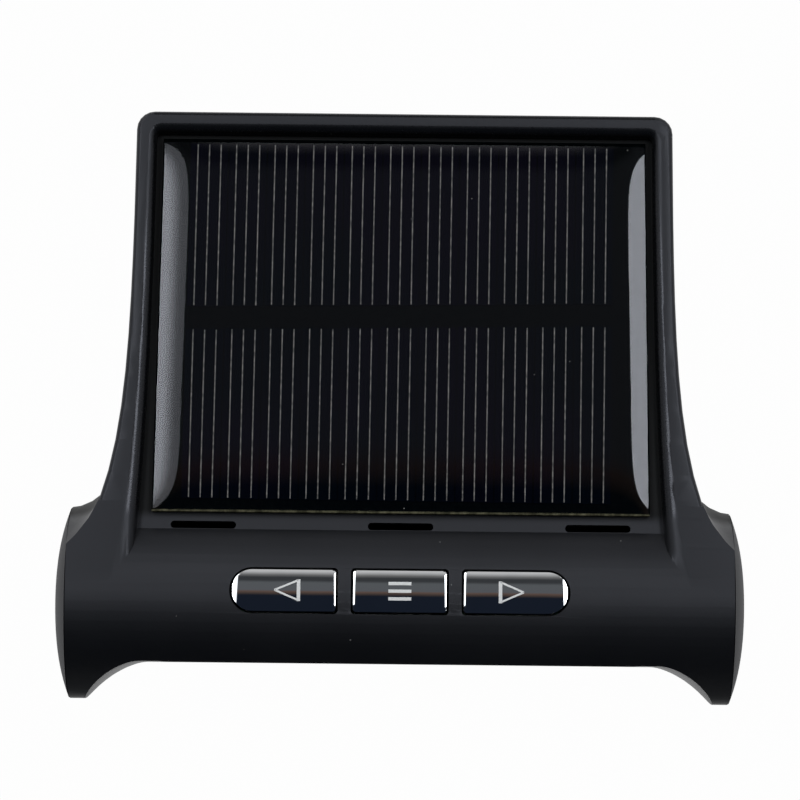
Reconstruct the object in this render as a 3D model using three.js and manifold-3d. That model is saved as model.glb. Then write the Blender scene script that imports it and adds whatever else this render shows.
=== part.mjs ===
// Dash-top tyre pressure monitor with a solar lid, three push keys and a forward-facing display.
// Millimetres, +Z up, +X to the driver's right, +Y away from the driver, standing on its rubber feet.
import * as THREE from 'three'
import { mergeVertices } from 'three/addons/utils/BufferGeometryUtils.js'
import Module from 'manifold-3d'

const wasm = await Module()
wasm.setup()

// ---------------------------------------------------------------- driving dimensions

const barrelRadius = 13.6
const barrelHalfLength = 46.8
const barrelSegments = 60
const innerSegments = 36
const capSegments = 48
const roundSegments = 36       // feet and buzzer
const holeSegments = 20        // screws, bosses, posts and plungers
const wall = 1.8
const underside = 0.8          // height of the housing's flat underside, set by the rubber feet
const partingHeight = 4.2      // where the top and bottom shells meet
const partingGap = 0.3
const seatGap = 0.2            // left between parts that lie flat on each other
const turnedGap = 0.3          // left around parts that fit inside a tilted or round seat

const lid = {
  slopeDegrees: 10.4,
  length: 69.05,               // from the crest of the barrel to the rear edge, along the slope
  halfWidth: 38.15,
  flare: 12.1,                 // the sides swell by this much at the crest
  flareLength: 12.3,           // and the swelling dies away over this length
  cornerRadius: 2.6,
  edgeRound: 0.7,
  earFillet: 5,
}

const recess = {
  depth: 2.6,
  halfWidth: 36.45,
  flare: 4.7,
  flareLength: 18,
  rearMargin: 1.8,             // rim left behind the recess
  cornerRadius: 1.8,
  shoulderDepth: 1.7,
  shoulderWidth: 1.2,
  shoulderFlare: 2.2,
  shoulderFlareLength: 12,
  crestShift: 1.2,             // the ramp at the front is the barrel's own curve, moved back this far
  floorThickness: 1.6,
}

const vent = { length: 9.2, width: 1.05, pitch: 27.75, fromCrest: 9.78, depth: 7 }

const solar = {
  boardWidth: 70,
  boardLength: 53.8,
  boardFront: 11.5,            // from the crest, along the slope
  boardThickness: 0.8,
  layerGap: 0.1,
  cellRows: 2,
  cellRowLength: 23.4,
  cellRowWidth: 62,
  cellRowPitch: 27,
  cellThickness: 0.2,
  epoxyFrontHalfWidth: 34.9,
  epoxyRearHalfWidth: 34.2,
  epoxyFrontMargin: 0.45,
  epoxyRearMargin: 0.8,
  epoxyEdgeHeight: 0.35,
  epoxyHeight: 1.15,
  epoxyShoulder: 5,
}

const display = {
  tiltDegrees: 4,              // the window leans back by this much
  fromAxis: 8.27,
  straightHalf: 36.2,
  flareRadius: 6.5,
  flareTurn: 20,               // degrees turned by the tight curve, before the wide one
  wideRadius: 12.5,
  wideTurn: 54,                // degrees turned in all, where the flare runs out straight
  wall: 2.2,
}

// The display's parts stand in the barrel, and each margin is measured in from the frame's edge.
const lcdFrame = { width: 71, barrelMargin: 0.75, outerRadius: 0.8, innerRadius: 0.2 }
const lens = { sideMargin: 1.5, margin: 0.9, thickness: 1, cornerRadius: 1.5, sunk: 0.15, fitGap: 0.2 }
const viewWindow = { sideMargin: 3.75, margin: 2.2, cornerRadius: 1 }
const lcd = { sideMargin: 3, margin: 1.2, thickness: 1.6 }
const backlight = { bottomMargin: 2.8, topMargin: 1.3, thickness: 1.8 }
const zebra = { sideMargin: 5.5, margin: 1.3, height: 1.2 }
const displayBoard = { bottomMargin: 0.4, topMargin: 1.2, thickness: 1 }

const keys = {
  between: 1.8,                // the housing left between two key holes
  outerHoleWidth: 15.2,
  middleHoleWidth: 13.7,
  holeHeight: 6.5,
  fromCrest: 0.25,
  cornerRadius: 0.55,
  sideGap: 0.32,
  proud: 0.25,
  flangeWidth: 0.6,
  flangeThickness: 1,
  flangeDrop: 0.4,             // below the barrel's inner wall
  bossRadius: 1.6,
  bossGap: 0.35,               // between the key's boss and the switch plunger
}

const tactSwitch = { width: 6, depth: 3.3, height: 3.6, margin: 2.6, boreRadius: 1.2, boreDepth: 1.6 }
const plunger = { radius: 1, rise: 0.8, inBore: 0.9 }

const endCap = { dome: 2.15, edgeGap: 0.15, seam: 0.2, spigotLength: 1.6, spigotWall: 1.5 }

const screws = {
  rearX: 34,
  rearY: 62,                   // behind the barrel's axis
  frontX: 37.5,
  frontY: 15,
  topBossRadius: 2.6,
  bottomBossRadius: 3.2,
  pilotRadius: 1.1,
  pilotSpare: 1,
  shankRadius: 0.9,
  shankLength: 7.5,
  holeRadius: 1.2,
  headRadius: 1.9,
  headHeight: 1.2,
  headEdge: 0.3,
  tipLength: 1,
  headRecess: 0.2,
  crossWidth: 0.5,
  crossLength: 2.2,
  crossDepth: 0.6,
}

const feet = { radius: 4, seatDepth: 0.5, rearX: 24, rearY: 60.5, frontX: 37, frontY: 5.5 }

const mainBoard = { width: 58, length: 27, front: 35.5, bottom: 5, thickness: 1 }
const boardPost = { radius: 1.6, insetX: 3, insetY: 3 }
const usb = {
  width: 7.6,
  height: 2.6,
  length: 6,
  mouth: 32,
  wall: 0.3,
  backWall: 1,
  tongue: 0.6,
  tongueWidth: 3.8,
  tongueSetBack: 0.5,
  openingGap: 0.4,
}
const battery = { width: 45, length: 20, height: 5, front: 12.5, cornerRadius: 1.2 }
const foamPad = { width: 36, length: 14, height: 0.7 }
// On the main board, y is measured from the board's front edge.
const batteryPlug = { width: 6, length: 4, height: 3.4, x: 6, y: 2.9 }
const buzzer = { radius: 4.5, height: 4, x: 18, y: 12.5, soundHoleRadius: 0.8, soundHoleDepth: 1 }
const controller = { width: 7, length: 7, height: 1, x: -2, y: 10 }
const radio = { width: 4, length: 4, height: 0.9, x: -12, y: 10 }
const crystal = { width: 4, length: 2.5, height: 0.8, x: -12, y: 15.5 }
const antenna = { coilRadius: 1.8, wireRadius: 0.4, turns: 9, length: 15, x: -23, front: 6 }
const ribbon = { width: 11, thickness: 0.3, x: -14, overBattery: 0.8, straight: 1.2, lift: 0.5 }
const ribbonSocket = {
  width: 14,
  depth: 2,
  height: 3,
  boardMargin: 3.8,
  mainY: 2.4,
  mainHeight: 2,
  mainLength: 3,
}
const lead = { radius: 0.45, spacing: 1.8, holeRadius: 2.2, fromCrest: 53, straight: 2, bend: 1 }

// ---------------------------------------------------------------- where the parts lie

const slope = THREE.MathUtils.degToRad(lid.slopeDegrees)
const displayTilt = THREE.MathUtils.degToRad(display.tiltDegrees)
const rearReach = (lid.length - lid.edgeRound) * Math.cos(slope)
  + (barrelRadius - lid.edgeRound) * Math.sin(slope) + lid.edgeRound
const axisY = (barrelRadius - rearReach) / 2
const axisZ = underside + barrelRadius
const floorTop = underside + wall
const recessFloor = barrelRadius - recess.depth
const ceiling = recessFloor - recess.floorThickness
const innerRadius = barrelRadius - wall
const displayInner = display.fromAxis - display.wall
const lcdFront = -displayInner + turnedGap
const lcdBack = lcdFront + lcd.thickness
const frameHalf = Math.sqrt(innerRadius ** 2 - lcdFront ** 2) - lcdFrame.barrelMargin
const lensWidth = lcdFrame.width - 2 * lens.sideMargin
const lensHeight = 2 * (frameHalf - lens.margin)
const viewWidth = lcdFrame.width - 2 * viewWindow.sideMargin
const viewHeight = 2 * (frameHalf - viewWindow.margin)
const lcdWidth = lcdFrame.width - 2 * lcd.sideMargin
const lcdHalf = frameHalf - lcd.margin
const switchTop = frameHalf - tactSwitch.margin
const plungerHeight = switchTop + plunger.rise
const backlightBack = lcdBack + seatGap + backlight.thickness
const displayBoardBack = backlightBack + seatGap + displayBoard.thickness
const displaySocketLow = ribbonSocket.boardMargin - frameHalf
const switchFront = displayBoardBack + seatGap
const switchMiddle = switchFront + tactSwitch.depth / 2
const boardLevel = recessFloor + turnedGap
const cellLevel = boardLevel + solar.boardThickness + solar.layerGap
const cellMiddle = solar.boardFront + solar.boardLength / 2
const boardFront = axisY + mainBoard.front
const boardTop = mainBoard.bottom + mainBoard.thickness
const batteryBottom = floorTop + foamPad.height + 2 * seatGap
const screwSeat = underside + screws.headRecess + screws.headHeight + seatGap
const screwTop = screwSeat - seatGap + screws.shankLength
const big = 200
const overrun = 3              // outlines start this far forward and are trimmed by a plane
const past = 1                 // how far a cutting tool runs past the face that it opens
const sunk = 0.5               // how deep a boss or post is rooted in the wall it grows from
const hair = 0.01              // keeps two rounded corners from meeting in one point

// The lid's frame: X across, Y down the slope from the crest, Z along the lid's normal from the axis.
const lidFrame = new THREE.Matrix4().makeTranslation(0, axisY, axisZ)
  .multiply(new THREE.Matrix4().makeRotationX(-slope))
// The display's frame: X across, -Y out of the window, Z up the window, from the barrel's axis.
const displayFrame = new THREE.Matrix4().makeTranslation(0, axisY, axisZ)
  .multiply(new THREE.Matrix4().makeRotationX(-displayTilt))

// ---------------------------------------------------------------- solids

function signedVolume(positions, index) {
  const a = new THREE.Vector3()
  const b = new THREE.Vector3()
  const c = new THREE.Vector3()
  let sum = 0
  for (let i = 0; i < index.length; i += 3) {
    a.fromArray(positions, index[i] * 3)
    b.fromArray(positions, index[i + 1] * 3)
    c.fromArray(positions, index[i + 2] * 3)
    sum += a.dot(b.cross(c)) / 6
  }
  return sum
}

function indexed(positions, index) {
  if (signedVolume(positions, index) < 0) {
    index.reverse()
  }
  const geometry = new THREE.BufferGeometry()
  geometry.setAttribute('position', new THREE.Float32BufferAttribute(positions, 3))
  geometry.setIndex(index)
  return geometry
}

// A closed skin through outlines of equal length; place(point, step) puts each outline point in space.
function loft(outlines, place) {
  const count = outlines[0].length
  const last = (outlines.length - 1) * count
  const positions = outlines.flatMap((outline, step) => outline.flatMap((p) => place(p, step).toArray()))
  const index = []
  for (let base = 0; base < last; base += count) {
    for (let i = 0; i < count; i++) {
      const j = (i + 1) % count
      index.push(base + i, base + j, base + count + j, base + i, base + count + j, base + count + i)
    }
  }
  index.push(...faces(outlines[0]).reverse())
  index.push(...faces(outlines.at(-1)).map((corner) => last + corner))
  return indexed(positions, index)
}

// The triangles inside an outline, wound the way that the outline runs.
function faces(outline) {
  const corners = THREE.ShapeUtils.triangulateShape(outline, []).flat()
  return THREE.ShapeUtils.isClockWise(outline) ? corners.reverse() : corners
}

// A lathe's triangles that close up to nothing on its axis are left out.
function withoutSlivers(index) {
  const kept = []
  for (let i = 0; i < index.length; i += 3) {
    const [a, b, c] = index.slice(i, i + 3)
    if (a !== b && b !== c && c !== a) {
      kept.push(a, b, c)
    }
  }
  return Uint32Array.from(kept)
}

function solid(geometry, matrix = new THREE.Matrix4()) {
  const bare = geometry.clone().applyMatrix4(matrix)
  bare.deleteAttribute('normal')
  bare.deleteAttribute('uv')
  const merged = mergeVertices(bare, 1e-4)
  const triVerts = withoutSlivers(merged.index.array)
  const vertProperties = Float32Array.from(merged.attributes.position.array)
  return new wasm.Manifold(new wasm.Mesh({ numProp: 3, vertProperties, triVerts }))
}

function geometryOf(manifold) {
  const mesh = manifold.getMesh()
  const geometry = new THREE.BufferGeometry()
  geometry.setAttribute('position', new THREE.BufferAttribute(mesh.vertProperties, 3))
  geometry.setIndex(new THREE.BufferAttribute(mesh.triVerts, 1))
  geometry.computeVertexNormals()
  return geometry
}

// Everything behind a line across the lid's frame.
function behind(y) {
  return solid(boxBetween([-big, y, -big], [big, big, big]), lidFrame)
}

function join(...solids) {
  return solids.reduce((sum, next) => sum.add(next))
}

function cut(body, ...tools) {
  return tools.reduce((rest, tool) => rest.subtract(tool), body)
}

// A box between two corners.
function boxBetween(low, high) {
  const size = high.map((value, i) => value - low[i])
  const middle = high.map((value, i) => (value + low[i]) / 2)
  return new THREE.BoxGeometry(...size).translate(...middle)
}

function upright(radius, low, high, x, y, segments = holeSegments) {
  const cylinder = new THREE.CylinderGeometry(radius, radius, high - low, segments)
  return cylinder.rotateX(Math.PI / 2).translate(x, y, (low + high) / 2)
}

// A cylinder along X, with a corner at the top so that it meets a tangent plane exactly.
function alongX(radius, halfLength, segments = barrelSegments) {
  const cylinder = new THREE.CylinderGeometry(radius, radius, 2 * halfLength, segments)
  return cylinder.rotateZ(Math.PI / 2)
}

function plate(shape, low, high, curveSegments = 6) {
  return new THREE.ExtrudeGeometry(shape, { depth: high - low, bevelEnabled: false, curveSegments })
    .translate(0, 0, low)
}

// A plate that stands in the display's frame, between two depths behind the window.
function standing(shape, front, back) {
  return plate(shape, 0, back - front).rotateX(Math.PI / 2).translate(0, back, 0)
}

// A rectangle whose left and right ends have corner radii of their own.
function endedRectangle(width, height, leftRadius, rightRadius, x = 0, y = 0) {
  const w = width / 2
  const h = height / 2
  const quarter = Math.PI / 2
  const shape = new THREE.Shape()
  shape.absarc(x + w - rightRadius, y - h + rightRadius, rightRadius, -quarter, 0)
  shape.absarc(x + w - rightRadius, y + h - rightRadius, rightRadius, 0, quarter)
  shape.absarc(x - w + leftRadius, y + h - leftRadius, leftRadius, quarter, Math.PI)
  shape.absarc(x - w + leftRadius, y - h + leftRadius, leftRadius, Math.PI, 3 * quarter)
  return shape
}

// ---------------------------------------------------------------- housing outlines

function outlineFromHalf(half) {
  const mirrored = half.map((p) => new THREE.Vector2(-p.x, p.y)).reverse()
  return [...half, ...mirrored]
}

// One side of a bell-shaped outline, front to rear, with its rounded rear corner. inset(y) moves it inwards.
function bellHalf({ halfWidth, flare, flareLength, cornerRadius, sideSteps, front, rear, inset }) {
  const cornerSteps = 5
  const points = []
  for (let i = 0; i <= sideSteps; i++) {
    const y = front + (rear - cornerRadius - front) * (i / sideSteps) ** 1.5
    const swell = flare * Math.exp(-y / flareLength)
    const lean = Math.hypot(1, swell / flareLength)
    const shift = inset(y)
    points.push(new THREE.Vector2(halfWidth + swell - shift / lean, y - shift * swell / flareLength / lean))
  }
  const turn = points.at(-1)
  const rearInset = inset(rear)
  const radius = Math.max(cornerRadius - rearInset, 0.1)
  for (let i = 1; i <= cornerSteps; i++) {
    const angle = (i / cornerSteps) * Math.PI / 2
    const x = turn.x - radius * (1 - Math.cos(angle))
    points.push(new THREE.Vector2(x, rear - rearInset - radius * (1 - Math.sin(angle))))
  }
  return points
}

function lidOutline(inset, sideSteps = 16) {
  const { halfWidth, flare, flareLength, cornerRadius } = lid
  return outlineFromHalf(bellHalf({
    halfWidth, flare, flareLength, cornerRadius, sideSteps,
    front: -overrun,
    rear: lid.length,
    inset: () => inset,
  }))
}

function shoulderWidth(y) {
  return recess.shoulderWidth + recess.shoulderFlare * Math.exp(-y / recess.shoulderFlareLength)
}

function recessOutline(shoulderShare) {
  const { halfWidth, flare, flareLength, cornerRadius } = recess
  return outlineFromHalf(bellHalf({
    halfWidth, flare, flareLength, cornerRadius,
    sideSteps: 12,
    front: recess.crestShift - overrun,
    rear: lid.length - recess.rearMargin,
    inset: (y) => shoulderShare * shoulderWidth(y),
  }))
}

// The opening in front of the display, seen along the window; offset leaves a wall behind it.
function archShape(offset) {
  const { fromAxis, straightHalf, flareRadius, wideRadius } = display
  const up = Math.PI / 2
  const turn = THREE.MathUtils.degToRad(display.flareTurn)
  const end = THREE.MathUtils.degToRad(display.wideTurn)
  const middle = -fromAxis - flareRadius
  const wideX = straightHalf - (wideRadius - flareRadius) * Math.sin(turn)
  const wideY = middle - (wideRadius - flareRadius) * Math.cos(turn)
  const tight = flareRadius + offset
  const wide = wideRadius + offset
  const footX = wideX + wide * Math.sin(end)
  const footY = wideY + wide * Math.cos(end)
  const farX = footX + 2 * barrelRadius * Math.cos(end)
  const farY = footY - 2 * barrelRadius * Math.sin(end)
  const shape = new THREE.Shape()
  shape.moveTo(farX, farY)
  shape.lineTo(footX, footY)
  shape.absarc(wideX, wideY, wide, up - end, up - turn)
  shape.absarc(straightHalf, middle, tight, up - turn, up)
  shape.absarc(-straightHalf, middle, tight, up, up + turn)
  shape.absarc(-wideX, wideY, wide, up + turn, up + end)
  shape.lineTo(-farX, farY)
  return shape
}

// ---------------------------------------------------------------- housing

function lidPrism() {
  const roundSteps = 3
  const levels = [{ inset: 0, z: -2 * barrelRadius }]
  for (let i = 0; i <= roundSteps; i++) {
    const angle = (i / roundSteps) * Math.PI / 2
    levels.push({
      inset: lid.edgeRound * (1 - Math.cos(angle)),
      z: barrelRadius - lid.edgeRound * (1 - Math.sin(angle)),
    })
  }
  return loft(levels.map(({ inset }) => lidOutline(inset)),
    (p, step) => new THREE.Vector3(p.x, p.y, levels[step].z))
}

// The hollow fillet where the lid's side wall runs down onto the end of the barrel.
function earFillet(side) {
  const first = 6              // degrees round the barrel from its crest
  const last = 168
  const steps = 18
  const arcSteps = 5
  const bury = 0.9             // how deep the fillet's hidden faces lie inside the barrel and the lid
  const rho = lid.earFillet
  const wallAt = (y) => lid.halfWidth + lid.flare * Math.exp(-Math.max(y, 0) / lid.flareLength)
  const angles = Array.from({ length: steps + 1 }, (_, i) => {
    return THREE.MathUtils.degToRad(first + (last - first) * i / steps)
  })
  const sections = angles.map((angle) => {
    const foot = wallAt(barrelRadius * Math.sin(angle))
    const points = [new THREE.Vector2(foot - bury * 2, barrelRadius - bury)]
    const reach = barrelRadius + rho
    points.push(new THREE.Vector2(wallAt(reach * Math.sin(angle)) - bury * 2, reach))
    for (let i = 0; i <= arcSteps; i++) {
      const turn = (i / arcSteps) * Math.PI / 2
      const radius = reach - rho * Math.sin(turn)
      points.push(new THREE.Vector2(wallAt(radius * Math.sin(angle)) + rho * (1 - Math.cos(turn)), radius))
    }
    points.push(new THREE.Vector2(foot + rho, barrelRadius - bury))
    return points
  })
  return loft(sections, (p, step) => {
    return new THREE.Vector3(side * p.x, p.y * Math.sin(angles[step]), p.y * Math.cos(angles[step]))
  })
}

function housingBody() {
  const below = solid(boxBetween([-big, axisY - big, -big], [big, axisY, axisZ]))
  const lidSolid = solid(lidPrism(), lidFrame).intersect(behind(0)).subtract(below)
  const barrel = solid(alongX(barrelRadius, barrelHalfLength), lidFrame)
  const face = solid(boxBetween([-big, -big, -big], [big, big, barrelRadius]), lidFrame)
  const fillets = join(solid(earFillet(1), lidFrame), solid(earFillet(-1), lidFrame)).intersect(face)
  const slab = solid(boxBetween([-barrelHalfLength, -big, underside], [barrelHalfLength, big, big]))
  return join(barrel, lidSolid, fillets).intersect(slab)
}

function recessTool() {
  const shoulderSteps = 4
  const levels = [{ share: 0, z: barrelRadius + past }]
  for (let i = 0; i <= shoulderSteps; i++) {
    const angle = (i / shoulderSteps) * Math.PI / 2
    levels.push({ share: Math.sin(angle), z: barrelRadius - recess.shoulderDepth * (1 - Math.cos(angle)) })
  }
  levels.push({ share: 1, z: recessFloor })
  const pocket = loft(levels.map(({ share }) => recessOutline(share)),
    (p, step) => new THREE.Vector3(p.x, p.y, levels[step].z))
  const crest = alongX(barrelRadius, 2 * barrelHalfLength).translate(0, recess.crestShift, 0)
  return solid(pocket, lidFrame).intersect(behind(recess.crestShift)).subtract(solid(crest, lidFrame))
}

function archTool(offset) {
  return solid(plate(archShape(offset), -big, big, 8), displayFrame)
}

function cavity() {
  const outline = lidOutline(wall, 8)
  const levels = [-2 * barrelRadius, ceiling]
  const under = loft([outline, outline], (p, step) => new THREE.Vector3(p.x, p.y, levels[step]))
  const tube = alongX(innerRadius, 2 * barrelHalfLength, innerSegments)
  const aboveFloor = solid(boxBetween([-big, -big, floorTop], [big, big, big]))
  const room = join(solid(under, lidFrame).intersect(behind(0)), solid(tube, lidFrame)).intersect(aboveFloor)
  return join(room.subtract(archTool(display.wall)), capSocket(-1), capSocket(1))
}

// The round seat at an end of the barrel, which takes the end cap's spigot.
function capSocket(side) {
  const depth = endCap.spigotLength + turnedGap
  const seat = alongX(innerRadius, depth, innerSegments)
  return solid(seat.translate(side * barrelHalfLength, 0, 0), lidFrame)
}

function keyHole(x, width, gap, low, high) {
  const height = keys.holeHeight - 2 * gap
  const round = height / 2 - hair
  const corner = keys.cornerRadius
  const left = x < 0 ? round : corner
  const right = x > 0 ? round : corner
  return plate(endedRectangle(width - 2 * gap, height, left, right, x, keys.fromCrest), low, high)
}

const keyPitch = (keys.outerHoleWidth + keys.middleHoleWidth) / 2 + keys.between

const keyPlaces = [
  { name: 'left', x: -keyPitch, width: keys.outerHoleWidth },
  { name: 'mode', x: 0, width: keys.middleHoleWidth },
  { name: 'right', x: keyPitch, width: keys.outerHoleWidth },
]

const screwPlaces = [
  { name: 'front_left', x: -screws.frontX, y: axisY + screws.frontY },
  { name: 'front_right', x: screws.frontX, y: axisY + screws.frontY },
  { name: 'rear_left', x: -screws.rearX, y: axisY + screws.rearY },
  { name: 'rear_right', x: screws.rearX, y: axisY + screws.rearY },
]

const footPlaces = [
  { name: 'front_left', x: -feet.frontX, y: axisY + feet.frontY },
  { name: 'front_right', x: feet.frontX, y: axisY + feet.frontY },
  { name: 'rear_left', x: -feet.rearX, y: axisY + feet.rearY },
  { name: 'rear_right', x: feet.rearX, y: axisY + feet.rearY },
]

function ventTools() {
  return [-vent.pitch, 0, vent.pitch].map((x) => {
    const round = vent.width / 2 - hair
    const shape = endedRectangle(vent.length, vent.width, round, round, x, vent.fromCrest)
    return solid(plate(shape, recessFloor - vent.depth, barrelRadius, 6), lidFrame)
  })
}

function displayTools() {
  const seat = endedRectangle(lensWidth + 2 * lens.fitGap, lensHeight + 2 * lens.fitGap,
    lens.cornerRadius + lens.fitGap, lens.cornerRadius + lens.fitGap)
  const opening = endedRectangle(viewWidth, viewHeight,
    viewWindow.cornerRadius, viewWindow.cornerRadius)
  const seatDepth = lens.sunk + lens.thickness + lens.fitGap
  return [
    solid(standing(seat, -display.fromAxis - past, -display.fromAxis + seatDepth), displayFrame),
    solid(standing(opening, -display.fromAxis, -displayInner + past), displayFrame),
  ]
}

function usbTool() {
  const x = usb.width / 2 + usb.openingGap
  const low = boardTop + seatGap - usb.openingGap
  const high = boardTop + seatGap + usb.height + usb.openingGap
  return solid(boxBetween([-x, boardFront + usb.mouth - usb.length, low], [x, axisY + big, high]))
}

function makeTopShell(body) {
  const outer = cut(body, recessTool(), archTool(0))
  const above = solid(boxBetween([-big, -big, partingHeight + partingGap / 2], [big, big, big]))
  const bosses = screwPlaces.map(({ x, y }) => {
    return solid(upright(screws.topBossRadius, partingHeight, big, x, y)).intersect(outer)
  })
  const walls = outer.subtract(cavity())
  const shell = join(walls, ...bosses).intersect(above)
  const pilotTop = screwTop + screws.pilotSpare
  const pilots = screwPlaces.map(({ x, y }) => solid(upright(screws.pilotRadius, 0, pilotTop, x, y)))
  const holes = keyPlaces.map(({ x, width }) => solid(keyHole(x, width, 0, 0, big), lidFrame))
  const leadHole = solid(upright(lead.holeRadius, 0, barrelRadius, 0, lead.fromCrest), lidFrame)
  return cut(shell, ...pilots, ...holes, ...ventTools(), ...displayTools(), usbTool(), leadHole)
}

function makeBottomShell(body) {
  const outer = body.subtract(archTool(0))
  const split = partingHeight - partingGap / 2
  const below = solid(boxBetween([-big, -big, -big], [big, big, split]))
  const bosses = screwPlaces.map(({ x, y }) => {
    return solid(upright(screws.bottomBossRadius, underside, split, x, y)).intersect(outer)
  })
  const posts = boardPosts().map(({ x, y }) => {
    return solid(upright(boardPost.radius, floorTop - sunk, mainBoard.bottom - seatGap, x, y))
  })
  const tray = join(outer.subtract(cavity()).intersect(below), ...bosses, ...posts)
  const holes = screwPlaces.map(({ x, y }) => solid(upright(screws.holeRadius, 0, big, x, y)))
  const headHole = screws.headRadius + turnedGap
  const heads = screwPlaces.map(({ x, y }) => solid(upright(headHole, 0, screwSeat, x, y)))
  const seats = footPlaces.map(({ x, y }) => {
    return solid(upright(feet.radius + seatGap, 0, underside + feet.seatDepth, x, y, roundSegments))
  })
  return cut(tray, ...holes, ...heads, ...seats)
}

function boardPosts() {
  const x = mainBoard.width / 2 - boardPost.insetX
  const front = boardFront + boardPost.insetY
  const rear = boardFront + mainBoard.length - boardPost.insetY
  return [{ x: -x, y: front }, { x, y: front }, { x: -x, y: rear }, { x, y: rear }]
}

// ---------------------------------------------------------------- end caps

function makeEndCap(side) {
  const rim = barrelRadius - endCap.edgeGap
  const spigot = innerRadius - turnedGap
  const steps = 6
  const spigotInner = spigot - endCap.spigotWall
  const profile = [
    new THREE.Vector2(0, -endCap.seam),
    new THREE.Vector2(spigotInner, -endCap.seam),
    new THREE.Vector2(spigotInner, -endCap.spigotLength),
    new THREE.Vector2(spigot, -endCap.spigotLength),
    new THREE.Vector2(spigot, endCap.seam),
    new THREE.Vector2(rim, endCap.seam),
  ]
  for (let i = 1; i <= steps; i++) {
    const r = rim * (1 - i / steps) ** 0.75
    profile.push(new THREE.Vector2(r, endCap.seam + (endCap.dome - endCap.seam) * (1 - (r / rim) ** 3)))
  }
  return new THREE.LatheGeometry(profile, capSegments).rotateZ(-side * Math.PI / 2)
}

// ---------------------------------------------------------------- keys and switches

const plungerTop = new THREE.Vector3(0, 0, plungerHeight)
  .applyMatrix4(new THREE.Matrix4().makeRotationX(slope - displayTilt))

function makeKey({ x, width }) {
  const flangeReach = keys.holeHeight / 2 + keys.flangeWidth + keys.fromCrest
  const flangeTop = Math.sqrt(innerRadius ** 2 - flangeReach ** 2) - keys.flangeDrop
  const flangeBottom = flangeTop - keys.flangeThickness
  const stem = solid(keyHole(x, width, keys.sideGap, flangeBottom, 2 * barrelRadius))
  const crown = solid(alongX(barrelRadius + keys.proud, barrelHalfLength))
  const flange = solid(keyHole(x, width, -keys.flangeWidth, flangeBottom, flangeTop))
  const bossY = plungerTop.y + switchMiddle
  const boss = solid(upright(keys.bossRadius, plungerTop.z + keys.bossGap, flangeBottom + sunk, x, bossY))
  return join(stem.intersect(crown), flange, boss)
}

function makeSwitchBody(x) {
  const { width, depth, height, boreRadius, boreDepth } = tactSwitch
  const block = standingBlock(width, switchFront, switchFront + depth, switchTop - height, switchTop, x)
  const bore = upright(boreRadius, switchTop - boreDepth, switchTop + past, x, switchMiddle)
  return geometryOf(solid(block).subtract(solid(bore)))
}

function makePlunger(x) {
  return upright(plunger.radius, switchTop - plunger.inBore, plungerHeight, x, switchMiddle)
}

// ---------------------------------------------------------------- display

function makeLens() {
  const shape = endedRectangle(lensWidth, lensHeight, lens.cornerRadius, lens.cornerRadius)
  const front = -display.fromAxis + lens.sunk
  return standing(shape, front, front + lens.thickness)
}

// A block in the display's frame, between two depths and two heights, centred at x.
function standingBlock(width, front, back, bottom, top, x = 0) {
  return boxBetween([x - width / 2, front, bottom], [x + width / 2, back, top])
}

function makeLcd() {
  return standingBlock(lcdWidth, lcdFront, lcdBack, -lcdHalf, lcdHalf)
}

function makeLcdFrame() {
  const outer = endedRectangle(lcdFrame.width, 2 * frameHalf, lcdFrame.outerRadius, lcdFrame.outerRadius)
  const inner = endedRectangle(lcdWidth + 2 * turnedGap, 2 * (lcdHalf + turnedGap),
    lcdFrame.innerRadius, lcdFrame.innerRadius)
  outer.holes.push(new THREE.Path(inner.getPoints(3).reverse()))
  return standing(outer, lcdFront, backlightBack)
}

function makeBacklight() {
  const bottom = backlight.bottomMargin - frameHalf
  const top = frameHalf - backlight.topMargin
  return standingBlock(lcdWidth, lcdBack + seatGap, backlightBack, bottom, top)
}

function makeZebra() {
  const bottom = zebra.margin - frameHalf
  const width = lcdFrame.width - 2 * zebra.sideMargin
  return standingBlock(width, lcdBack + seatGap, backlightBack, bottom, bottom + zebra.height)
}

function makeDisplayBoard() {
  const bottom = displayBoard.bottomMargin - frameHalf
  const top = frameHalf - displayBoard.topMargin
  return standingBlock(lcdFrame.width, backlightBack + seatGap, displayBoardBack, bottom, top)
}

function makeDisplaySocket() {
  const { width, depth, height } = ribbonSocket
  const front = displayBoardBack + seatGap
  return standingBlock(width, front, front + depth, displaySocketLow, displaySocketLow + height, ribbon.x)
}

// ---------------------------------------------------------------- solar module

function makeSolarBoard() {
  return boxBetween([-solar.boardWidth / 2, solar.boardFront, boardLevel],
    [solar.boardWidth / 2, solar.boardFront + solar.boardLength, boardLevel + solar.boardThickness])
}

function cellRow(row) {
  const middle = cellMiddle + (row - (solar.cellRows - 1) / 2) * solar.cellRowPitch
  return { front: middle - solar.cellRowLength / 2, rear: middle + solar.cellRowLength / 2 }
}

function makeCellRow(row, margin = 0) {
  const { front, rear } = cellRow(row)
  return boxBetween([-solar.cellRowWidth / 2 - margin, front - margin, cellLevel - margin],
    [solar.cellRowWidth / 2 + margin, rear + margin, cellLevel + solar.cellThickness + margin])
}

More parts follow.
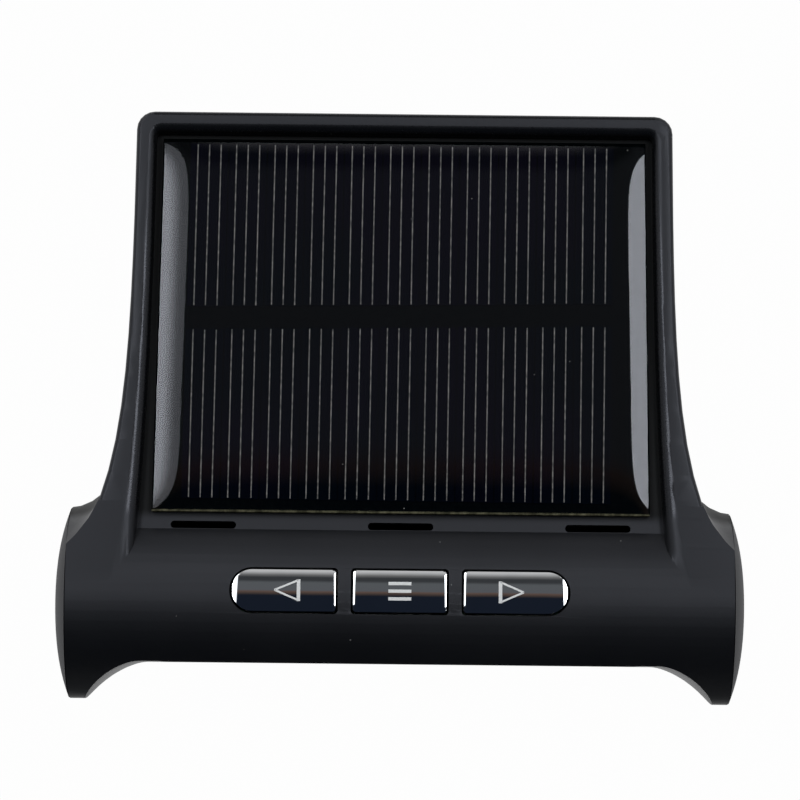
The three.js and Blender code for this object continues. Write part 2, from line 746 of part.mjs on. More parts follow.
// The poured epoxy: a thin slab, a little narrower at the rear, whose top swells away from its edges.
function makeEpoxy() {
  const front = solar.boardFront + solar.epoxyFrontMargin
  const rear = solar.boardFront + solar.boardLength - solar.epoxyRearMargin
  const steps = 6
  const levels = [{ inset: 0, z: cellLevel }]
  for (let i = 0; i <= steps; i++) {
    const share = i / steps
    const rise = Math.sqrt(1 - (1 - share) ** 2)
    levels.push({
      inset: solar.epoxyShoulder * share ** 2,
      z: cellLevel + solar.epoxyEdgeHeight + (solar.epoxyHeight - solar.epoxyEdgeHeight) * rise,
    })
  }
  const corners = ({ inset }) => [
    new THREE.Vector2(solar.epoxyFrontHalfWidth - inset, front + inset),
    new THREE.Vector2(solar.epoxyRearHalfWidth - inset, rear - inset),
    new THREE.Vector2(-solar.epoxyRearHalfWidth + inset, rear - inset),
    new THREE.Vector2(-solar.epoxyFrontHalfWidth + inset, front + inset),
  ]
  const slab = solid(loft(levels.map(corners), (p, step) => new THREE.Vector3(p.x, p.y, levels[step].z)))
  return cut(slab, solid(makeCellRow(0, solar.layerGap)), solid(makeCellRow(1, solar.layerGap)))
}

// ---------------------------------------------------------------- inside the housing

function tube(points, radius, sides = 4, stepsPerPoint = 5) {
  const route = new THREE.CatmullRomCurve3(points.map((p) => new THREE.Vector3(...p)))
  const circle = new THREE.Shape()
  circle.absarc(0, 0, radius, 0, 2 * Math.PI)
  const steps = stepsPerPoint * (points.length - 1)
  return new THREE.ExtrudeGeometry(circle, { steps, extrudePath: route, curveSegments: sides })
}

function makeMainBoard() {
  const { width, length, thickness, bottom } = mainBoard
  return boxBetween([-width / 2, boardFront, bottom], [width / 2, boardFront + length, bottom + thickness])
}

function makeUsb() {
  const low = boardTop + seatGap
  const y = boardFront + usb.mouth
  const can = boxBetween([-usb.width / 2, y - usb.length, low], [usb.width / 2, y, low + usb.height])
  const inside = usb.width / 2 - usb.wall
  const mouth = boxBetween([-inside, y - usb.length + usb.backWall, low + usb.wall],
    [inside, y + past, low + usb.height - usb.wall])
  const middle = low + usb.height / 2
  const tongue = boxBetween([-usb.tongueWidth / 2, y - usb.length + sunk, middle - usb.tongue / 2],
    [usb.tongueWidth / 2, y - usb.tongueSetBack, middle + usb.tongue / 2])
  return join(cut(solid(can), solid(mouth)), solid(tongue))
}

function onBoard({ x, y, width, length, height }) {
  const low = boardTop + seatGap
  return new THREE.BoxGeometry(width, length, height).translate(x, boardFront + y, low + height / 2)
}

function makeBuzzer() {
  const { radius, height, x, y, soundHoleRadius, soundHoleDepth } = buzzer
  const low = boardTop + seatGap
  const top = low + height
  const can = upright(radius, low, top, x, boardFront + y, roundSegments)
  const hole = upright(soundHoleRadius, top - soundHoleDepth, top + past, x, boardFront + y)
  return solid(can).subtract(solid(hole))
}

function makeAntenna() {
  const stepsPerTurn = 8
  const middle = boardTop + turnedGap + antenna.coilRadius + antenna.wireRadius
  const coil = Array.from({ length: antenna.turns * stepsPerTurn + 1 }, (_, i) => {
    const angle = (i / stepsPerTurn) * 2 * Math.PI
    const y = boardFront + antenna.front + antenna.length * i / (antenna.turns * stepsPerTurn)
    const x = antenna.x + antenna.coilRadius * Math.sin(angle)
    return [x, y, middle - antenna.coilRadius * Math.cos(angle)]
  })
  return tube(coil, antenna.wireRadius, 3, 1)
}

function makeFoamPad() {
  const middle = axisY + battery.front + battery.length / 2
  return boxBetween([-foamPad.width / 2, middle - foamPad.length / 2, floorTop + seatGap],
    [foamPad.width / 2, middle + foamPad.length / 2, floorTop + seatGap + foamPad.height])
}

function makeBattery() {
  const shape = endedRectangle(battery.width, battery.length, battery.cornerRadius, battery.cornerRadius,
    0, axisY + battery.front + battery.length / 2)
  return plate(shape, batteryBottom, batteryBottom + battery.height, 4)
}

function makeRibbon() {
  const low = displaySocketLow + ribbonSocket.height / 2
  const exit = new THREE.Vector3(0, displayBoardBack + seatGap + ribbonSocket.depth + turnedGap, low)
  exit.applyMatrix4(displayFrame)
  const overBattery = batteryBottom + battery.height + ribbon.overBattery
  const mainExit = boardFront + ribbonSocket.mainY - ribbonSocket.mainLength / 2 - turnedGap
  const socketMiddle = boardTop + seatGap + ribbonSocket.mainHeight / 2
  const route = new THREE.CatmullRomCurve3([
    new THREE.Vector3(exit.y, exit.z, 0),
    new THREE.Vector3(exit.y + ribbon.straight, exit.z, 0),
    new THREE.Vector3(axisY + battery.front, overBattery, 0),
    new THREE.Vector3(axisY + battery.front + battery.length, overBattery, 0),
    new THREE.Vector3(mainExit - ribbon.straight, socketMiddle + ribbon.lift, 0),
    new THREE.Vector3(mainExit, socketMiddle, 0),
  ]).getPoints(30)
  const half = ribbon.thickness / 2
  const upper = route.map((p) => new THREE.Vector2(p.x, p.y + half))
  const lower = route.map((p) => new THREE.Vector2(p.x, p.y - half)).reverse()
  const band = plate(new THREE.Shape([...upper, ...lower]), -ribbon.width / 2, ribbon.width / 2)
  const [alongY, alongZ, across] = [[0, 1, 0], [0, 0, 1], [1, 0, 0]].map((v) => new THREE.Vector3(...v))
  const sideways = new THREE.Matrix4().makeBasis(alongY, alongZ, across)
  return band.applyMatrix4(sideways).translate(ribbon.x, 0, 0)
}

function makeBatteryLead(offset) {
  const start = axisY + battery.front + battery.length + turnedGap
  const end = boardFront + batteryPlug.y - batteryPlug.length / 2 - turnedGap
  const x = batteryPlug.x + offset
  const plugMiddle = boardTop + seatGap + batteryPlug.height / 2
  const batteryMiddle = batteryBottom + battery.height / 2
  const halfway = [x, (start + end) / 2, (batteryMiddle + plugMiddle) / 2]
  return tube([[x, start, batteryMiddle], halfway, [x, end, plugMiddle]], lead.radius)
}

function makeSolarLead(offset) {
  const top = new THREE.Vector3(offset, lead.fromCrest, boardLevel - turnedGap).applyMatrix4(lidFrame)
  const bottom = boardTop + turnedGap
  const lower = top.y - lead.bend
  const points = [
    [offset, top.y, top.z],
    [offset, top.y, top.z - lead.straight],
    [offset, lower, (top.z + bottom) / 2],
    [offset, lower, bottom],
  ]
  return tube(points, lead.radius)
}

function makeScrew({ x, y }) {
  const headLow = underside + screws.headRecess
  const headTop = headLow + screws.headHeight
  const { headRadius, headEdge, shankRadius, tipLength } = screws
  const profile = [
    [0, headLow],
    [headRadius - headEdge, headLow],
    [headRadius, headLow + headEdge],
    [headRadius, headTop],
    [shankRadius, headTop],
    [shankRadius, screwTop - tipLength],
    [0, screwTop],
  ].map(([r, z]) => new THREE.Vector2(r, z))
  const body = solid(new THREE.LatheGeometry(profile, holeSegments).rotateX(Math.PI / 2).translate(x, y, 0))
  const arm = screws.crossLength / 2
  const half = screws.crossWidth / 2
  const depth = headLow + screws.crossDepth
  return cut(body,
    solid(boxBetween([x - arm, y - half, 0], [x + arm, y + half, depth])),
    solid(boxBetween([x - half, y - arm, 0], [x + half, y + arm, depth])))
}

function makeFoot({ x, y }) {
  return upright(feet.radius, 0, underside + feet.seatDepth - seatGap, x, y, roundSegments)
}

// ---------------------------------------------------------------- materials

function material(color, roughness, metalness = 0, extra = {}) {
  return new THREE.MeshStandardMaterial({ color, roughness, metalness, ...extra })
}

const satinBlack = material(0x1d1e20, 0.55)
const gloss = material(0x0a0b0d, 0.08)
const chrome = material(0xd8dadd, 0.08, 1)
const greenBoard = material(0x1f5a36, 0.5)
const darkBoard = material(0x23261c, 0.5)
const silicon = material(0x0a0e1c, 0.25)
const epoxyClear = material(0x11151a, 0.05, 0, { transparent: true, opacity: 0.35 })
const glassGrey = material(0x3a4038, 0.1)
const whitePlastic = material(0xe8e8e4, 0.5)
const blackPlastic = material(0x151515, 0.5)
const rubber = material(0x111111, 0.9)
const steel = material(0xb0b2b4, 0.35, 1)
const chipBlack = material(0x17181a, 0.6)
const foil = material(0xb9bcc0, 0.35, 0.6)
const foam = material(0x2a2a2a, 0.95)
const copper = material(0xb87a4a, 0.3, 1)
const ribbonWhite = material(0xdddbd2, 0.5)
const redWire = material(0xa81c1c, 0.5)
const blackWire = material(0x101010, 0.5)

// ---------------------------------------------------------------- assembly

function add(group, name, shape, look) {
  const geometry = shape.isBufferGeometry ? shape : geometryOf(shape)
  const mesh = new THREE.Mesh(geometry, look)
  mesh.name = name
  group.add(mesh)
}

function framedGroup(frame) {
  const group = new THREE.Group()
  frame.decompose(group.position, group.quaternion, group.scale)
  return group
}

const monitor = new THREE.Group()
const lidGroup = framedGroup(lidFrame)
const displayGroup = framedGroup(displayFrame)
monitor.add(lidGroup, displayGroup)

const body = housingBody()
add(monitor, 'top_shell', makeTopShell(body), satinBlack)
add(monitor, 'bottom_shell', makeBottomShell(body), satinBlack)

for (const [side, name] of [[-1, 'end_cap_left'], [1, 'end_cap_right']]) {
  add(monitor, name, makeEndCap(side).translate(side * barrelHalfLength, axisY, axisZ), satinBlack)
}

add(lidGroup, 'solar_board', makeSolarBoard(), darkBoard)
add(lidGroup, 'solar_cells_front', makeCellRow(0), silicon)
add(lidGroup, 'solar_cells_rear', makeCellRow(1), silicon)
add(lidGroup, 'solar_epoxy', makeEpoxy(), epoxyClear)

for (const place of keyPlaces) {
  add(lidGroup, `key_${place.name}`, makeKey(place), chrome)
  add(displayGroup, `switch_body_${place.name}`, makeSwitchBody(place.x), blackPlastic)
  add(displayGroup, `switch_plunger_${place.name}`, makePlunger(place.x), whitePlastic)
}

add(displayGroup, 'display_lens', makeLens(), gloss)
add(displayGroup, 'lcd_panel', makeLcd(), glassGrey)
add(displayGroup, 'lcd_frame', makeLcdFrame(), blackPlastic)
add(displayGroup, 'lcd_backlight', makeBacklight(), whitePlastic)
add(displayGroup, 'lcd_contact_strip', makeZebra(), rubber)
add(displayGroup, 'display_board', makeDisplayBoard(), greenBoard)
add(displayGroup, 'display_ribbon_socket', makeDisplaySocket(), whitePlastic)

add(monitor, 'main_board', makeMainBoard(), greenBoard)
add(monitor, 'main_ribbon_socket', onBoard({
  x: ribbon.x,
  y: ribbonSocket.mainY,
  width: ribbonSocket.width,
  length: ribbonSocket.mainLength,
  height: ribbonSocket.mainHeight,
}), whitePlastic)
add(monitor, 'display_ribbon', makeRibbon(), ribbonWhite)
add(monitor, 'controller_chip', onBoard(controller), chipBlack)
add(monitor, 'radio_chip', onBoard(radio), chipBlack)
add(monitor, 'radio_crystal', onBoard(crystal), steel)
add(monitor, 'antenna_coil', makeAntenna(), copper)
add(monitor, 'buzzer', makeBuzzer(), blackPlastic)
add(monitor, 'usb_socket', makeUsb(), steel)
add(monitor, 'battery_plug', onBoard(batteryPlug), whitePlastic)
add(monitor, 'battery', makeBattery(), foil)
add(monitor, 'battery_foam_pad', makeFoamPad(), foam)
add(monitor, 'battery_lead_red', makeBatteryLead(-lead.spacing / 2), redWire)
add(monitor, 'battery_lead_black', makeBatteryLead(lead.spacing / 2), blackWire)
add(monitor, 'solar_lead_red', makeSolarLead(-lead.spacing / 2), redWire)
add(monitor, 'solar_lead_black', makeSolarLead(lead.spacing / 2), blackWire)

for (const place of screwPlaces) {
  add(monitor, `case_screw_${place.name}`, makeScrew(place), steel)
}
for (const place of footPlaces) {
  add(monitor, `foot_${place.name}`, makeFoot(place), rubber)
}

export default monitor
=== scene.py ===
import math
from collections import namedtuple

import bmesh
import bpy
from mathutils import Matrix, Vector


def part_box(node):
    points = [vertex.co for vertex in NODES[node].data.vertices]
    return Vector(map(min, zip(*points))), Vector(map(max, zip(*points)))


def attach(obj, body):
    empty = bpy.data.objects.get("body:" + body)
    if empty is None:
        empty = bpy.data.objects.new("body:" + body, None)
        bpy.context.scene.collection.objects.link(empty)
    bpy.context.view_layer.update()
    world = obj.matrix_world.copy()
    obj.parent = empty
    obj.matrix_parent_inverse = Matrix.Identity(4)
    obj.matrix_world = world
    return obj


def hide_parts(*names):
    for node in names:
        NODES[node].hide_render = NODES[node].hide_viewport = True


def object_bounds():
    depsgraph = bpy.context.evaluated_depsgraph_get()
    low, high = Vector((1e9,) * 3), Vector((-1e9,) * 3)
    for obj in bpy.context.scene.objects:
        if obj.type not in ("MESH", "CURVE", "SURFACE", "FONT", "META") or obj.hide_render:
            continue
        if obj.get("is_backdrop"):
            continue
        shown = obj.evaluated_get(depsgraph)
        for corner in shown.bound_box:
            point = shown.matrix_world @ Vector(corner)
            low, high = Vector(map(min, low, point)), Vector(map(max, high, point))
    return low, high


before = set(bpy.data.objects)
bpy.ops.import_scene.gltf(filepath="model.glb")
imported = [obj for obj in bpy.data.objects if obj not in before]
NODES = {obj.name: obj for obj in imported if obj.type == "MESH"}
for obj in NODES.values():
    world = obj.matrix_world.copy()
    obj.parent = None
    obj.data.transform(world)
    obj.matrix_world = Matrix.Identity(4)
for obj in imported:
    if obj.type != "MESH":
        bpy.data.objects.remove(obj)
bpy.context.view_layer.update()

MM = 0.001


def mm(*values):
    return tuple(v * MM for v in values)


# ------------------------------------------------------------ places

CAP_LOW, CAP_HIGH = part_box("end_cap_right")
AXIS_Y = (CAP_LOW.y + CAP_HIGH.y) / 2
AXIS_Z = (CAP_LOW.z + CAP_HIGH.z) / 2
BARREL_RADIUS = 13.6 * MM
BARREL_HALF = 46.8 * MM
LID_SLOPE = math.radians(10.4)
RECESS_FLOOR = BARREL_RADIUS - 2.6 * MM

# X across, Y down the lid from the crest of the barrel, Z out of the lid, from the barrel's axis.
LID = Matrix.Translation((0, AXIS_Y, AXIS_Z)) @ Matrix.Rotation(-LID_SLOPE, 4, "X")

# The solar module in the lid's frame, in millimetres, as are all lengths below that MM multiplies.
MODULE_FRONT, MODULE_REAR = 11.5, 65.3
MODULE_FRONT_HALF, MODULE_REAR_HALF = 35.0, 34.4


# ------------------------------------------------------------ shader expressions

class Wire:
    """A socket of a node tree that can be written in sums."""

    def __init__(self, nodes, socket):
        self.nodes = nodes
        self.socket = socket

    def _math(self, operation, *values):
        return self.nodes.node("ShaderNodeMath", {"operation": operation}, values)

    def __add__(self, other):
        return self._math("ADD", self, other)

    def __radd__(self, other):
        return self._math("ADD", other, self)

    def __sub__(self, other):
        return self._math("SUBTRACT", self, other)

    def __rsub__(self, other):
        return self._math("SUBTRACT", other, self)

    def __mul__(self, other):
        return self._math("MULTIPLY", self, other)

    def __rmul__(self, other):
        return self._math("MULTIPLY", other, self)

    def __gt__(self, other):
        return self._math("GREATER_THAN", self, other)

    def __lt__(self, other):
        return self._math("LESS_THAN", self, other)

    def most(self, other):
        return self._math("MAXIMUM", self, other)

    def size(self):
        return self._math("ABSOLUTE", self)

    def ramp(self, low, high, out_low=0.0, out_high=1.0):
        """Eases from one value to another between two places."""
        return self.nodes.node("ShaderNodeMapRange", {"interpolation_type": "SMOOTHSTEP"},
                               (self, low, high, out_low, out_high))

    def rise(self, low, high):
        """Goes straight from 0 to 1 between two places."""
        return self.nodes.node("ShaderNodeMapRange", {}, (self, low, high))


def set_stops(ramp, stops):
    """Gives a colour ramp its stops, each a place from 0 to 1 and a colour."""
    while len(ramp.elements) < len(stops):
        ramp.elements.new(0.5)
    for element, (place, color) in zip(ramp.elements, stops):
        element.position = place
        element.color = (*color, 1.0)


class Nodes:
    """A node tree under construction."""

    def __init__(self, tree):
        self.tree = tree

    def plug(self, socket, value):
        if isinstance(value, Wire):
            self.tree.links.new(value.socket, socket)
        elif isinstance(value, tuple) and len(value) == 3 and socket.type == "RGBA":
            socket.default_value = (*value, 1.0)
        else:
            socket.default_value = value

    def node(self, kind, settings=None, values=(), output=0):
        made = self.tree.nodes.new(kind)
        for key, value in (settings or {}).items():
            if key == "stops":
                set_stops(made.color_ramp, value)
            else:
                setattr(made, key, value)
        pairs = values.items() if isinstance(values, dict) else enumerate(values)
        for key, value in pairs:
            self.plug(made.inputs[key], value)
        return Wire(self, made.outputs[output])

    def shown(self, shader):
        """Puts a shader on the surface."""
        self.plug(self.tree.nodes["Material Output"].inputs["Surface"], shader)

    def axes_of(self, vector):
        parts = self.node("ShaderNodeSeparateXYZ", {}, (vector,)).socket.node
        return [Wire(self, socket) for socket in parts.outputs]

    def mix(self, share, first, second):
        return self.node("ShaderNodeMix", {"data_type": "RGBA"}, {0: share, 6: first, 7: second}, output=2)

    def mix_shader(self, share, first, second):
        return self.node("ShaderNodeMixShader", {}, (share, first, second))

    def seen_by(self, *rays):
        """1 for the kinds of ray that are named, such as Is Camera Ray."""
        seen = self.node("ShaderNodeLightPath", output=rays[0])
        for ray in rays[1:]:
            seen = seen.most(self.node("ShaderNodeLightPath", output=ray))
        return seen


class Look(Nodes):
    """A material under construction."""

    def __init__(self, name, color, roughness, metallic=0.0, **constants):
        self.material = bpy.data.materials.new(name)
        self.material.use_nodes = True
        super().__init__(self.material.node_tree)
        self.shader = self.tree.nodes["Principled BSDF"]
        self.set("Base Color", color)
        self.set("Roughness", roughness)
        self.set("Metallic", metallic)
        for socket, value in constants.items():
            self.set(socket.replace("_", " "), value)

    def set(self, socket, value):
        self.plug(self.shader.inputs[socket], value)

    def place(self, matrix=None):
        """Object coordinates in metres, seen from a frame of the object where one is given."""
        where = self.node("ShaderNodeTexCoord", output="Object")
        if matrix is None:
            return where
        back = matrix.inverted()
        return self.node("ShaderNodeMapping", {"vector_type": "POINT"}, {
            "Vector": where,
            "Location": tuple(back.to_translation()),
            "Rotation": tuple(back.to_euler()),
        })

    def facing(self, direction):
        """1 where the surface faces a direction, and less as it turns away."""
        normal = self.node("ShaderNodeTexCoord", output="Normal")
        return self.node("ShaderNodeVectorMath", {"operation": "DOT_PRODUCT"},
                         (normal, tuple(direction)), output="Value")

    def noise(self, size, detail=2.0, roughness=0.5):
        """Noise from 0 to 1 whose lumps are about size metres across."""
        return self.node("ShaderNodeTexNoise", {}, {
            "Vector": self.place(), "Scale": 1.0 / size, "Detail": detail, "Roughness": roughness,
        })

    def specks(self, spacing, radius):
        """1 inside small round specks scattered about spacing metres apart."""
        found = self.node("ShaderNodeTexVoronoi", {}, {"Vector": self.place(), "Scale": 1.0 / spacing})
        return found < radius / spacing

    def over(self, share, color, roughness, specular):
        """Lays a second finish over the first where the share is 1."""
        second = self.node("ShaderNodeBsdfPrincipled", {}, {
            "Base Color": color, "Roughness": roughness, "Specular IOR Level": specular,
        })
        self.shown(self.mix_shader(share, Wire(self, self.shader.outputs[0]), second))

    def bump(self, height, depth, strength):
        self.set("Normal", self.node("ShaderNodeBump", {}, {
            "Height": height, "Distance": depth, "Strength": strength,
        }))


# ------------------------------------------------------------ finishes

SATIN = 0.4
MATT = 0.6
# The lid widens towards the front. The distance from its middle, and this share of the distance down
# the lid, add up to these two on the way out over the rounded edge of the recess.
RECESS_EDGE_LEAN = 0.05
RECESS_EDGE_PASSED = (39.0, 39.3)


def satin_plastic(name, roughness):
    """Satin mouldings, smoother on the rounded edge of the lid's recess, with painted shade in its floor:
    a darker, less glossy finish there.
    """
    look = Look(name, (0.005, 0.0053, 0.006), roughness, Specular_Tint=(0.88, 0.9, 1.0, 1.0))
    grain = look.noise(0.35 * MM, 3, 0.6)
    drift = look.noise(14 * MM, 2)
    dust = look.specks(2.6 * MM, 0.11 * MM) * (look.noise(5 * MM) > 0.52)
    base = look.mix(drift.ramp(0.3, 0.7), (0.004, 0.0043, 0.005), (0.006, 0.0064, 0.0072))
    look.set("Base Color", look.mix(dust, base, (0.16, 0.155, 0.15)))
    x, y, z = look.axes_of(look.place(LID))
    # Low in the recess, the zone that gets the painted shade below.
    low = 1 - z.ramp(RECESS_FLOOR + 0.5 * MM, RECESS_FLOOR + 1.3 * MM)
    beside_module = y.ramp((MODULE_FRONT - 1.2) * MM, (MODULE_FRONT + 0.5) * MM)
    inner = 1 - (x.size() + RECESS_EDGE_LEAN * y).ramp(*mm(*RECESS_EDGE_PASSED))
    turned = 1 - look.facing(LID.col[2].xyz).ramp(0.992, 0.9995)
    look.set("Roughness", roughness + 0.1 * grain - 0.17 * (turned * beside_module * inner))
    look.bump(grain, 0.02 * MM, 0.35)
    # Painted shade: the recess floor beside and behind the module gets a darker, less glossy second
    # finish.
    look.over(low * beside_module, (0.002, 0.0025, 0.003), 0.6, 0.2)
    return look.material


def rubber():
    look = Look("foot_rubber", (0.016, 0.016, 0.016), 0.8)
    grain = look.noise(0.5 * MM, 3)
    look.set("Base Color", look.mix(grain, (0.012, 0.012, 0.012), (0.022, 0.022, 0.021)))
    look.bump(grain, 0.05 * MM, 0.4)
    return look.material


def chrome():
    look = Look("key_chrome", (0.72, 0.73, 0.75), 0.05, 1.0)
    haze = look.noise(3 * MM, 3)
    look.set("Roughness", 0.03 + 0.03 * haze)
    look.bump(look.noise(4 * MM, 1), 0.02 * MM, 0.5)
    look.set("Base Color", look.mix(haze, (0.70, 0.71, 0.73), (0.76, 0.77, 0.78)))
    return look.material


def epoxy():
    """Clear all through; only its outer skin mirrors, more at a glancing angle."""
    look = Look("clear_epoxy", (0.93, 0.935, 1.0), 0.03, 1.0)
    inside = look.node("ShaderNodeNewGeometry", output="Backfacing")
    mirror = look.node("ShaderNodeFresnel", {}, {"IOR": 1.5})
    look.set("Alpha", mirror * (1 - inside))
    swirl = look.noise(9 * MM, 2)
    look.bump(swirl, 0.03 * MM, 0.2)
    look.set("Roughness", 0.02 + 0.02 * swirl)
    return look.material


def silicon():
    look = Look("solar_cell", (0.001, 0.002, 0.004), 0.5, Specular_IOR_Level=0.0)
    tint = look.noise(22 * MM, 2)
    grain = look.noise(0.6 * MM, 3)
    base = look.mix(tint.ramp(0.35, 0.65), (0.0004, 0.0014, 0.003), (0.0015, 0.0012, 0.0045))
    look.set("Base Color", look.mix(look.specks(5 * MM, 0.08 * MM), base, (0.2, 0.2, 0.2)))
    look.set("Roughness", 0.45 + 0.15 * grain)
    return look.material


def silver():
    look = Look("cell_silver", (0.2, 0.18, 0.16), 0.5, 0.3)
    wear = look.noise(0.7 * MM, 3, 0.7)
    look.set("Base Color", look.mix(wear.ramp(0.35, 0.65), (0.055, 0.054, 0.053), (0.2, 0.19, 0.182)))
    return look.material


def board_black():
    """Dark solder mask; the cut edge at the front shows dusty glass fibre."""
    look = Look("solar_board_mask", (0.001, 0.0015, 0.0015), 0.5, Specular_IOR_Level=0.0)
    grain = look.noise(0.8 * MM, 4, 0.7)
    y = look.axes_of(look.place(LID))[1]
    at_edge = 1 - y.ramp((MODULE_FRONT + 0.12) * MM, (MODULE_FRONT + 0.3) * MM)
    dust = look.noise(1.2 * MM, 3, 0.8).ramp(0.35, 0.7, 0.25, 1.0)
    mask = look.mix(grain.ramp(0.35, 0.75), (0.0003, 0.0008, 0.001), (0.0015, 0.0022, 0.0022))
    dusted = look.mix(look.specks(4 * MM, 0.09 * MM), mask, (0.2, 0.2, 0.19))
    look.set("Base Color", look.mix(at_edge * dust, dusted, (0.2, 0.19, 0.12)))
    look.bump(grain, 0.03 * MM, 0.3)
    return look.material


def grained(name, dark, light, roughness, metallic=0.0, size=0.8 * MM, depth=0.02 * MM):
    """A finish with a fine grain in its colour, its gloss and its surface."""
    look = Look(name, dark, roughness, metallic)
    grain = look.noise(size, 3, 0.6)
    look.set("Base Color", look.mix(grain.ramp(0.3, 0.7), dark, light))
    look.set("Roughness", roughness - 0.05 + 0.1 * grain)
    look.bump(grain, depth, 0.4)
    return look.material


# ------------------------------------------------------------ shape helpers

WELD = 1e-6


def finished(bm, name, look, body="housing", smooth=30, place=None):
    """Makes a piece from a bmesh, smooth except where its faces turn by more than an angle."""
    limit = math.radians(smooth)
    if place is not None:
        bm.transform(place)
    for face in bm.faces:
        face.smooth = True
    for edge in bm.edges:
        edge.smooth = not edge.is_manifold or edge.calc_face_angle(0.0) < limit
    mesh = bpy.data.meshes.new(name)
    bm.to_mesh(mesh)
    bm.free()
    mesh.materials.append(look)
    piece = bpy.data.objects.new(name, mesh)
    bpy.context.scene.collection.objects.link(piece)
    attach(piece, body)
    return piece


def merged(node):
    """The shape of a CAD node as one welded skin, with its flat faces whole again."""
    bm = bmesh.new()
    bm.from_mesh(NODES[node].data)
    bmesh.ops.remove_doubles(bm, verts=bm.verts, dist=WELD)
    bmesh.ops.dissolve_limit(bm, angle_limit=math.radians(0.4), verts=bm.verts, edges=bm.edges)
    return bm


def weighted(piece):
    modifier = piece.modifiers.new("even_shading", "WEIGHTED_NORMAL")
    modifier.keep_sharp = True
    modifier.weight = 80


def new_vertices(made):
    return [v for v in made["geom"] if isinstance(v, bmesh.types.BMVert)]


def block(bm, low, high, turn=None):
    """Adds a box between two corners, in millimetres."""
    size = Vector(high) - Vector(low)
    middle = (Vector(high) + Vector(low)) / 2
    place = Matrix.Translation(middle * MM) @ Matrix.Diagonal((*(size * MM), 1))
    if turn is not None:
        place = turn @ place
    bmesh.ops.create_cube(bm, size=1, matrix=place)


def sharp_edges(bm, degrees, wanted):
    limit = math.radians(degrees)
    return [e for e in bm.edges if e.is_manifold and e.calc_face_angle(0.0) > limit and wanted(e)]


def rounded(bm, edges, width, segments=3):
    bmesh.ops.bevel(bm, geom=edges, offset=width * MM, affect="EDGES", segments=segments,
                    profile=0.5, material=-1, clamp_overlap=True)


def cut_across(bm, axis, place):
    """Cuts the whole mesh at a place along an axis, in millimetres."""
    point = Vector((0, 0, 0))
    point[axis] = place * MM
    normal = Vector((0, 0, 0))
    normal[axis] = 1
    geometry = bm.verts[:] + bm.edges[:] + bm.faces[:]
    bmesh.ops.bisect_plane(bm, geom=geometry, dist=1e-8, plane_co=point, plane_no=normal)


def cut_in_strips(bm, length, count):
    """Cuts a length along Y, about its middle, into equal strips."""
    for i in range(1, count):
        cut_across(bm, 1, length * (i / count - 0.5))


# ------------------------------------------------------------ housing

BARREL_STEP = 2
# How far the flats of the CAD's barrel lie inside its true round at most.
FLAT_SHORT = 0.03 * MM
HOLE_ROUND = 0.16
# Where the key holes lie, in the lid's frame.
KEY_ZONE_HALF = 26
KEY_ZONE_FRONT, KEY_ZONE_REAR = -3.4, 3.8
KEY_ZONE_LOW = 12.9
# The skin that the vents are cut in, and where they lie.
VENT_SKIN = 11.0
FLUSH = 0.02
VENT_FRONT, VENT_REAR = 9.0, 10.5


def on_barrel(face):
    """Whether a face is one of the flats that the barrel's round is made of."""
    middle = Vector((0, AXIS_Y, AXIS_Z))
    reach = (face.verts[0].co - middle).dot(face.normal)
    return abs(face.normal.x) < 0.001 and abs(reach - BARREL_RADIUS) < FLAT_SHORT


def round_barrel(bm):
    """Cuts the barrel's flats into narrow ones and brings them out to its true radius."""
    for degrees in range(0, 180, BARREL_STEP):
        angle = math.radians(degrees)
        flats = [f for f in bm.faces if on_barrel(f)]
        geometry = [*{v for f in flats for v in f.verts}, *{e for f in flats for e in f.edges}, *flats]
        bmesh.ops.bisect_plane(bm, geom=geometry, dist=1e-7, plane_co=(0, AXIS_Y, AXIS_Z),
                               plane_no=(0, math.cos(angle), -math.sin(angle)))
    for vert in {v for f in bm.faces if on_barrel(f) for v in f.verts}:
        spoke = Vector((0, vert.co.y - AXIS_Y, vert.co.z - AXIS_Z))
        short = BARREL_RADIUS - spoke.length
        if 0 < short < FLAT_SHORT:
            vert.co += spoke.normalized() * short


def soften_holes(bm):
    """Rounds the outer edges of the key holes and the vents a little."""
    back = LID.inverted()

    def in_key_zone(point):
        return (abs(point.x) < KEY_ZONE_HALF and KEY_ZONE_FRONT < point.y < KEY_ZONE_REAR
                and point.z > KEY_ZONE_LOW)

    def at_vent(point):
        return abs(point.z - VENT_SKIN) < FLUSH and VENT_FRONT < point.y < VENT_REAR

    def at_hole(edge):
        ends = [(back @ v.co) / MM for v in edge.verts]
        return edge.is_convex and (all(map(in_key_zone, ends)) or all(map(at_vent, ends)))

    rounded(bm, sharp_edges(bm, 60, at_hole), HOLE_ROUND, 2)


def make_housing():
    plastic = satin_plastic("satin_black_plastic", SATIN)
    for node, name in (("top_shell", "housing_top"), ("bottom_shell", "housing_bottom")):
        bm = merged(node)
        round_barrel(bm)
        if node == "top_shell":
            soften_holes(bm)
        piece = finished(bm, name, plastic, smooth=32)
        weighted(piece)
        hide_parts(node)


# The end caps' rim: how far it lies inside the barrel's round, its gap to the barrel and its chamfer.
CAP_INSIDE = 0.08 * MM
CAP_GAP = 0.02 * MM
CAP_CHAMFER = 0.12 * MM
# The dome's rings, how they crowd towards the rim, and how full the dome is.
DOME_RINGS = 14
DOME_CROWDING = 0.75
DOME_FULLNESS = 2.6
DOME_FACETS = 96


def dome_profile(bulge):
    """Places along and out from the barrel's axis, from the foot of a cap's rim to its middle."""
    rim = BARREL_RADIUS - CAP_INSIDE
    shoulder = CAP_GAP + CAP_CHAMFER
    profile = [(CAP_GAP, rim - CAP_CHAMFER), (shoulder, rim)]
    for i in range(1, DOME_RINGS + 1):
        out = rim * (1 - i / DOME_RINGS) ** DOME_CROWDING
        profile.append((shoulder + (bulge - shoulder) * (1 - (out / rim) ** DOME_FULLNESS), out))
    return profile


